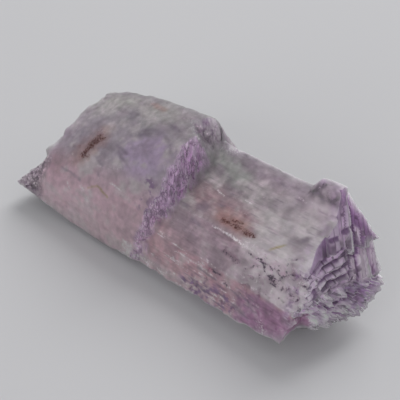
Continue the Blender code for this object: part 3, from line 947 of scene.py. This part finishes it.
def looks(points, cell, shown):
    """How rough and see-through the skin is, and how strongly each of its patterns shows."""
    right = faces(points[:, 0], cell)["right"]
    low = end_zones(points[:, 1], points[:, 2])[1]
    end, band, tip, rim, scaly = (shown[name] for name in ("end", "band", "tip", "rim", "scaly"))
    worn = np.maximum.reduce([shown["top_frost"], shown["slope"] * 0.7, rim, tip])
    gaps = between(noise("gaps", points), -0.4, 0.2)
    far = blend(points[:, 0], 12, 22)
    mottled = 0.8 + (0.2 - 0.5 * far) * right * (1 - end) + 0.4 * rim + 1.2 * tip
    lined = between(noise("lined", points), -0.5, 0.6)
    on_back = between(cell, 16, 20) * (1 - between(cell, 34, 38))
    veils = between(noise("veils", points), -0.4, 0.5)
    return {
        "rough": 0.36 + 0.18 * worn - 0.16 * np.maximum(end, band),
        "see_through": 0.32 + 0.12 * shown["clear"] + 0.08 * shown["flank"] - 0.12 * worn * right,
        "mottled": mottled + 0.8 * shown["ledge_end"],
        "lined": 0.9 * lined * np.maximum(right, on_back) * (1 - np.maximum(end, shown["frost"])),
        "chipped": 0.9 * band + 2.0 * tip + 0.8 * shown["break"] + 0.25 * scaly,
        "barred": 0.5 * end * (1 + low),
        "netted": 0.4 * (1 - end) * (1 - band) * veils * (1 - 0.5 * right),
        "etched": gaps * np.maximum.reduce([0.9 * band, 0.6 * scaly, 0.7 * tip]),
        "between_bars": 0.85 * end * (1 - low) * between(noise("bar_gaps", points), -0.7, 0.3),
        "glints": 1.2 * end * low * between(noise("glints", points), -0.1, 0.3),
    }


def scale_places(points, grainy):
    """Places whose cells are upright scales on the long sides and grains on the broken left end."""
    sway = stack(*[noise("scale_sway", points, axis) for axis in range(3)])
    scales = drawn_out(points, SCALE_WAY, *SCALE_CHIP)
    return sway + np.where(grainy[:, None] > 0.4, points / GRAIN_CHIP, scales)


def bar_places(points):
    """Places along and across the bars of the right end: upright blades, slanting stairs and blocks."""
    _, across, up = points.T
    front, low = end_zones(across, up)
    lean = across - BLADE_TILT * up
    sway = noise("bar_sway", stack(across, up))
    blade = np.interp(lean, BLADE_EDGES, np.arange(len(BLADE_EDGES)))
    blades = stack(up / BLADE_LENGTH + sway, BARS_EACH * blade)
    stair = np.interp(fanned(across, up), STAIR_EDGES, np.arange(len(STAIR_EDGES)))
    stairs = stack(lean / STAIR_LENGTH + sway, BARS_EACH * stair)
    blocks = stack(across + BLOCK_CHIP_SLANT[0] * up, up + BLOCK_CHIP_SLANT[1] * across)
    blocks = blocks / np.array(BLOCK_CHIP)
    blocks = blocks + stack(*[noise("block_sway", stack(across, up), more) for more in (0, 1)])
    places = np.where(front[:, None] > 0.5, stairs, blades)
    places = np.where(low[:, None] > 0.5, blocks, places)
    return np.column_stack([places, 0 * up])


def make_skin():
    """The crystal's visible skin, with its marks, its looks and the places of its patterns."""
    mesh = block_mesh("kunzite_skin")
    block = np.empty(len(mesh.vertices) * 3, np.float32)
    mesh.vertices.foreach_get("co", block)
    block = block.reshape(-1, 3).astype(float)
    points, cell, _ = crystal_points(block)
    placed = (points - np.array([*MIDDLE, 0])) * MM
    mesh.vertices.foreach_set("co", placed.astype(np.float32).ravel())
    shown = marks(points, block, cell)
    for name, amount in (shown | looks(points, cell, shown)).items():
        layer = mesh.attributes.new(name, "FLOAT", "POINT")
        layer.data.foreach_set("value", np.asarray(amount, np.float32))
    around = np.mod(cell - SEAM_CELL, CELLS_ROUND) * CELL_SIZE
    coordinates = {
        "grain": stack(points[:, 0], around, 0 * around),
        "scales": scale_places(points, shown["tip"] + shown["break"]),
        "bars": bar_places(points),
    }
    for name, vectors in coordinates.items():
        layer = mesh.attributes.new(name, "FLOAT_VECTOR", "POINT")
        layer.data.foreach_set("vector", vectors.astype(np.float32).ravel())
    mesh.polygons.foreach_set("use_smooth", np.ones(len(mesh.polygons), bool))
    mesh.set_sharp_from_angle(angle=math.radians(SHARP_FROM))
    mesh.update()
    skin = bpy.data.objects.new("kunzite_skin", mesh)
    bpy.context.scene.collection.objects.link(skin)
    return skin


def linear(hex_colour):
    """An sRGB hex colour as linear light with full alpha."""
    channels = [int(hex_colour[i : i + 2], 16) / 255 for i in (1, 3, 5)]
    return (*(c / 12.92 if c <= 0.04045 else ((c + 0.055) / 1.055) ** 2.4 for c in channels), 1.0)


def add(tree, kind, settings=None, inputs=None):
    """Adds a node; each input, by name or place, is a value or another node's output."""
    node = tree.nodes.new(kind)
    for name, value in (settings or {}).items():
        setattr(node, name, value)
    for place, value in (inputs or {}).items():
        if isinstance(value, bpy.types.NodeSocket):
            tree.links.new(value, node.inputs[place])
        else:
            node.inputs[place].default_value = value
    return node


# What the skin's attributes say of its looks, besides its marks.
LOOKS = (
    "rough", "see_through", "mottled", "lined", "chipped",
    "barred", "netted", "etched", "between_bars", "glints",
)

# How many forms of each pattern lie along a millimetre, and its detail and roughness: clouds about
# 5 mm wide, mottling of about 1 mm, grit of about 0.3 mm, and veils about 4 mm apart.
PATTERNS = {
    "cloud": (0.2, 3.0, 0.5),
    "mottle": (0.9, 3.0, 0.5),
    "grit": (3.6, 3.0, 0.5),
    "veil": (0.26, 4.0, 0.6),
}

# The crystal's two body tints, those of its veils, cracks and bright edges, and what it absorbs.
BODY_TINTS = ("#b4abb3", "#a398a4")
VEIL_TINT = "#e2d8dd"
CRACK_TINT = "#665069"
GLINT_TINT = "#ece4ee"
ABSORPTION_TINT = "#c090c8"
ABSORPTION_DENSITY = 35.0
KUNZITE_IOR = 1.66

# How wide the veils are in the noise that draws them, and how the striations' places are stretched
# and scaled: they are about 0.45 mm apart, with finer ones on them.
VEIL_WIDTH = 0.012
STRIAE_STRETCH = (0.2, 1.0, 1.0)
STRIAE_SCALE = 2.2

# Bars fill the whole cells of their places, which blades and stairs set, with thin soft joints.
BRICKS = {
    "Color1": (0.0, 0.0, 0.0, 1.0),
    "Color2": (1.0, 1.0, 1.0, 1.0),
    "Mortar": (0.5, 0.5, 0.5, 1.0),
    "Scale": 1.0,
    "Mortar Size": 0.1,
    "Mortar Smooth": 0.4,
    "Brick Width": 1.0,
    "Row Height": 1.0,
}

# Settings that several nodes share.
COLOURS = {"data_type": "RGBA"}
MULTIPLY = {"operation": "MULTIPLY"}
SUBTRACT = {"operation": "SUBTRACT"}
MULTIPLY_ADD = {"operation": "MULTIPLY_ADD"}
FALLING = {"To Min": 1.0, "To Max": 0.0}


def kunzite():
    """Spodumene, cleaved and etched: grey frost over pale lilac, purple where etching steepened it."""
    material = bpy.data.materials.new("kunzite, natural cleavage and etched faces")
    material.use_nodes = True
    tree = material.node_tree
    tree.nodes.clear()
    read = {}
    for name in (*MARKS, *LOOKS):
        read[name] = add(tree, "ShaderNodeAttribute", {"attribute_name": name}).outputs["Fac"]
    for name in ("grain", "scales", "bars"):
        read[name] = add(tree, "ShaderNodeAttribute", {"attribute_name": name}).outputs["Vector"]
    place = add(tree, "ShaderNodeTexCoord").outputs["Object"]
    pattern = {}
    for name, (per_mm, detail, roughness) in PATTERNS.items():
        inputs = {"Vector": place, "Scale": per_mm / MM, "Detail": detail, "Roughness": roughness}
        pattern[name] = add(tree, "ShaderNodeTexNoise", None, inputs).outputs["Fac"]

    # The cloudy body, and the marks over it. Grit breaks some of them up.
    inputs = {"Value": pattern["cloud"], "From Min": 0.35, "From Max": 0.65}
    clouding = add(tree, "ShaderNodeMapRange", None, inputs).outputs["Result"]
    inputs = {0: clouding, 6: linear(BODY_TINTS[0]), 7: linear(BODY_TINTS[1])}
    colour = add(tree, "ShaderNodeMix", COLOURS, inputs).outputs[2]
    for name, (tint, _) in MARKS.items():
        amount = read[name]
        if name in GRAINY:
            inputs = {0: pattern["grit"], 1: 1.2, 2: amount}
            amount = add(tree, "ShaderNodeMath", MULTIPLY_ADD, inputs).outputs[0]
            inputs = {"Value": amount, "From Min": 0.9, "From Max": 1.25}
            amount = add(tree, "ShaderNodeMapRange", None, inputs).outputs["Result"]
        inputs = {0: amount, 6: colour, 7: linear(tint)}
        colour = add(tree, "ShaderNodeMix", COLOURS, inputs).outputs[2]

    # Thin pale veils inside the crystal, where a noise crosses its middle.
    offset = add(tree, "ShaderNodeMath", SUBTRACT, {0: pattern["veil"], 1: 0.5}).outputs[0]
    offset = add(tree, "ShaderNodeMath", {"operation": "ABSOLUTE"}, {0: offset}).outputs[0]
    inputs = {"Value": offset, "From Min": 0.0, "From Max": VEIL_WIDTH, **FALLING}
    veiled = add(tree, "ShaderNodeMapRange", None, inputs).outputs["Result"]
    veiled = add(tree, "ShaderNodeMath", MULTIPLY, {0: veiled, 1: read["netted"]}).outputs[0]
    inputs = {0: veiled, 6: colour, 7: linear(VEIL_TINT)}
    colour = add(tree, "ShaderNodeMix", COLOURS, inputs).outputs[2]

    # Lighter and darker mottling, striations, scales and bars.
    inputs = {0: read["grain"], 1: STRIAE_STRETCH}
    stretched = add(tree, "ShaderNodeVectorMath", MULTIPLY, inputs).outputs[0]
    inputs = {"Vector": stretched, "Scale": STRIAE_SCALE, "Detail": 4.0}
    streak = add(tree, "ShaderNodeTexNoise", None, inputs).outputs["Fac"]
    inputs = {"Vector": read["scales"], "Scale": 1.0}
    scale = add(tree, "ShaderNodeTexVoronoi", None, inputs).outputs["Color"]
    bar = add(tree, "ShaderNodeTexBrick", None, {"Vector": read["bars"], **BRICKS})
    toned = (
        (pattern["mottle"], "mottled"),
        (streak, "lined"),
        (scale, "chipped"),
        (bar.outputs["Color"], "barred"),
    )
    for tones, name in toned:
        offset = add(tree, "ShaderNodeMath", SUBTRACT, {0: tones, 1: 0.5}).outputs[0]
        inputs = {0: offset, 1: read[name], 2: 1.0}
        factor = add(tree, "ShaderNodeMath", MULTIPLY_ADD, inputs).outputs[0]
        inputs = {0: colour, "Scale": factor}
        colour = add(tree, "ShaderNodeVectorMath", {"operation": "SCALE"}, inputs).outputs[0]

    # Thin dark cracks between the scales and between the bars, about 0.1 mm wide.
    inputs = {"Vector": read["scales"], "Scale": 1.0}
    edge = add(tree, "ShaderNodeTexVoronoi", {"feature": "DISTANCE_TO_EDGE"}, inputs).outputs["Distance"]
    inputs = {"Value": edge, "From Min": 0.02, "From Max": 0.16, **FALLING}
    cracked = add(tree, "ShaderNodeMapRange", None, inputs).outputs["Result"]
    cracked = add(tree, "ShaderNodeMath", MULTIPLY, {0: cracked, 1: read["etched"]}).outputs[0]
    inputs = {0: bar.outputs["Fac"], 1: read["between_bars"], 2: cracked}
    cracked = add(tree, "ShaderNodeMath", MULTIPLY_ADD, inputs).outputs[0]

    # The cracks' colour, and bright edges on some of the low blocks.
    inputs = {0: bar.outputs["Fac"], 1: read["glints"]}
    glint = add(tree, "ShaderNodeMath", MULTIPLY, inputs).outputs[0]
    for amount, tint in ((cracked, CRACK_TINT), (glint, GLINT_TINT)):
        inputs = {0: amount, 6: colour, 7: linear(tint)}
        colour = add(tree, "ShaderNodeMix", COLOURS, inputs).outputs[2]

    # Shallow relief from the striations, the mottling and the cracks, with its depth in millimetres.
    normal = {}
    for height, strength, depth, sunk in (
        (streak, 0.15, 0.3, False),
        (pattern["mottle"], 0.25, 0.2, False),
        (cracked, 0.6, 0.2, True),
    ):
        inputs = {"Strength": strength, "Distance": depth * MM, "Height": height, **normal}
        normal = {"Normal": add(tree, "ShaderNodeBump", {"invert": sunk}, inputs).outputs[0]}

    # The skin glows a little from inside, as cloudy crystal does, and lets some light straight through.
    inputs = {
        "Base Color": colour,
        "Roughness": read["rough"],
        "IOR": KUNZITE_IOR,
        "Specular IOR Level": 0.3,
        "Transmission Weight": read["see_through"],
        "Subsurface Weight": 1.0,
        "Subsurface Radius": (1.0, 0.8, 1.0),
        "Subsurface Scale": 0.012,
        **normal,
    }
    shader = add(tree, "ShaderNodeBsdfPrincipled", None, inputs)
    inputs = {"Color": linear(ABSORPTION_TINT), "Density": ABSORPTION_DENSITY}
    absorbing = add(tree, "ShaderNodeVolumeAbsorption", None, inputs)
    inputs = {"Surface": shader.outputs[0], "Volume": absorbing.outputs[0]}
    add(tree, "ShaderNodeOutputMaterial", None, inputs)
    return material


# The table that the crystal lies on, in millimetres and sRGB.
FLOOR_SIDE = 4000
FLOOR_COLOUR = "#cbcbcd"
FLOOR_ROUGHNESS = 0.9


def make_floor():
    ground = bmesh.new()
    bmesh.ops.create_grid(ground, x_segments=1, y_segments=1, size=FLOOR_SIDE / 2 * MM)
    mesh = bpy.data.meshes.new("pale_floor")
    ground.to_mesh(mesh)
    ground.free()
    floor = bpy.data.objects.new("pale_floor", mesh)
    bpy.context.scene.collection.objects.link(floor)
    material = bpy.data.materials.new("matt board, pale grey")
    material.use_nodes = True
    shader = material.node_tree.nodes["Principled BSDF"]
    shader.inputs["Base Color"].default_value = linear(FLOOR_COLOUR)
    shader.inputs["Roughness"].default_value = FLOOR_ROUGHNESS
    mesh.materials.append(material)


# The camera looks at the crystal from the front and right, from above. Its distance is in
# millimetres, and the lens is the one that fits the photograph's lines that run together.
VIEW_TURN = 44.0
VIEW_HEIGHT = 36.0
VIEW_DISTANCE = 131.0
VIEW_AIM = (-MIDDLE[0], -MIDDLE[1], 10.0)
FOCAL_PIXELS = 760.0
PICTURE_PIXELS = 400
SENSOR = 36.0


def direction(turn, height):
    """The way from the middle towards a place at a turn from the front and a height over level."""
    turn, height = math.radians(turn), math.radians(height)
    level = math.cos(height)
    return np.array([math.sin(turn) * level, -math.cos(turn) * level, math.sin(height)])


def aim(thing, place, target):
    """Puts a camera or a light at a place, facing a target."""
    thing.location = Vector(place)
    thing.rotation_euler = (Vector(target) - Vector(place)).to_track_quat("-Z", "Y").to_euler()


def make_camera():
    lens = bpy.data.cameras.new("camera")
    lens.sensor_width = SENSOR
    lens.lens = FOCAL_PIXELS / PICTURE_PIXELS * SENSOR
    lens.clip_start = 0.01
    camera = bpy.data.objects.new("camera", lens)
    bpy.context.scene.collection.objects.link(camera)
    target = np.array(VIEW_AIM) * MM
    aim(camera, target + direction(VIEW_TURN, VIEW_HEIGHT) * VIEW_DISTANCE * MM, target)
    bpy.context.scene.camera = camera


# One large soft light above and behind the crystal, a weak one low in front, and even light from
# all round. Each light has the way to it, its distance and side in millimetres, and its power.
LIGHTS = {
    "overhead_softbox": (196.0, 45.0, 2000, 1300, 22.0),
    "front_fill": (10.0, 14.0, 1500, 1200, 8.0),
}
ROOM_COLOUR = "#f4f4f6"
ROOM_STRENGTH = 0.50


def make_light():
    for name, (turn, height, distance, side, power) in LIGHTS.items():
        lamp = bpy.data.lights.new(name, "AREA")
        lamp.shape = "SQUARE"
        lamp.size = side * MM
        lamp.energy = power
        light = bpy.data.objects.new(name, lamp)
        bpy.context.scene.collection.objects.link(light)
        aim(light, direction(turn, height) * distance * MM, (0, 0, 0))
    world = bpy.data.worlds.new("room")
    world.use_nodes = True
    room = world.node_tree.nodes["Background"]
    room.inputs["Color"].default_value = linear(ROOM_COLOUR)
    room.inputs["Strength"].default_value = ROOM_STRENGTH
    bpy.context.scene.world = world
    bpy.context.scene.view_settings.view_transform = "Standard"


skin = make_skin()
skin.data.materials.append(kunzite())
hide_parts("kunzite_crystal")
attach(skin, "root")
make_floor()
make_camera()
make_light()
